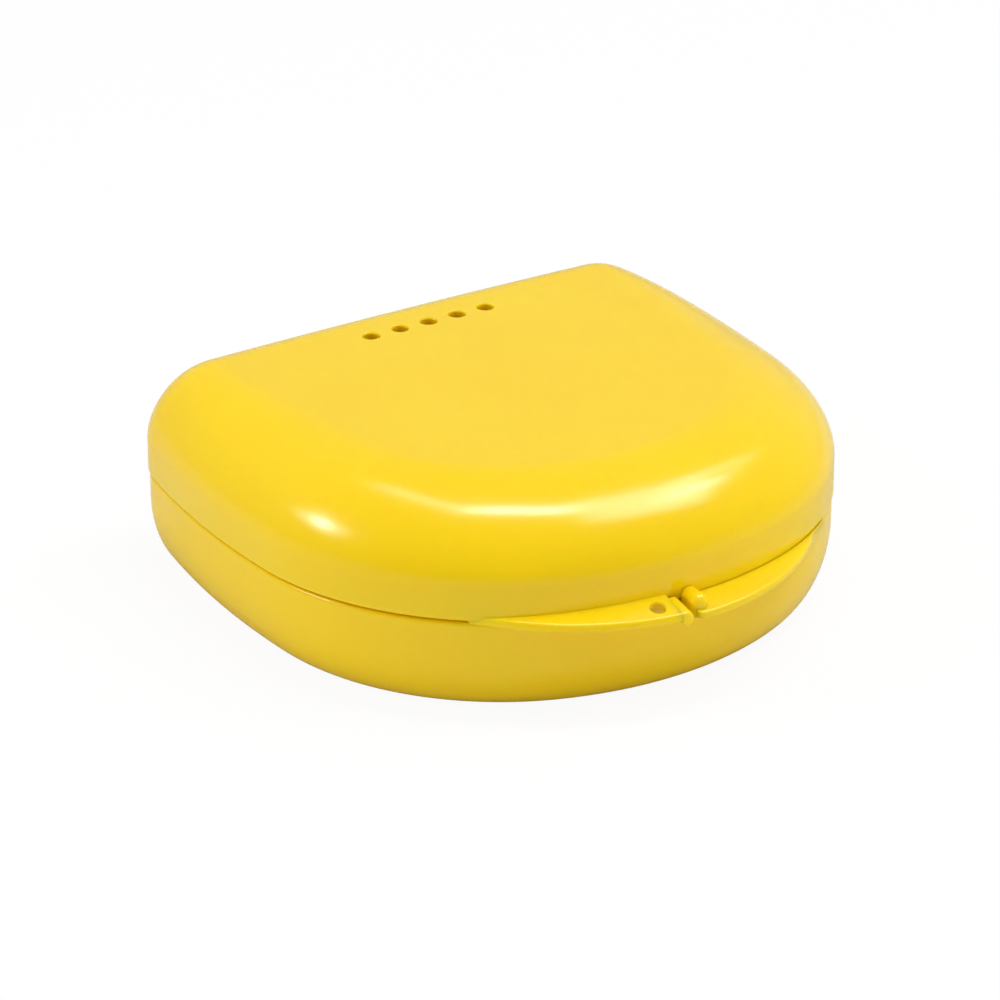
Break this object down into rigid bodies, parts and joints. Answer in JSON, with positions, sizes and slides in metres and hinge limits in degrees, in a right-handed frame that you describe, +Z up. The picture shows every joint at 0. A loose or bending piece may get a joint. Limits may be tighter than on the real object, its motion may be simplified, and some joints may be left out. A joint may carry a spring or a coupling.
{
  "type": "retainer case",
  "caption": "D-shaped hinged case for a dental retainer: a tray, a domed vented lid on a pin at the back, thumb tabs with a snap latch at the front, and a cord hole.",
  "frame": {"origin": "middle of the flat underside of the tray, halfway between its front wall and its back wall", "axes": "+Z up, towards the lid's top; -Y towards the thumb tabs at the front; +Y towards the hinge; +X to the right, seen from the front"},
  "size_m": [0.08, 0.0819, 0.028],
  "materials": {
    "yellow_plastic": "glossy moulded yellow plastic",
    "pin_steel": "drawn steel wire"
  },
  "bodies": {
    "base": {"base_tray": "yellow_plastic", "base_tab": "yellow_plastic", "base_knuckles": "yellow_plastic", "hinge_pin": "pin_steel"},
    "lid": {"lid_dome": "yellow_plastic", "lid_tab": "yellow_plastic", "lid_knuckles": "yellow_plastic"}
  },
  "joints": [
    {"name": "lid_hinge", "type": "hinge", "parent": "base", "child": "lid", "pos_m": [0, 0.03905, 0.0131], "axis": [-1, 0, 0], "range_deg": [0, 175]}
  ]
}
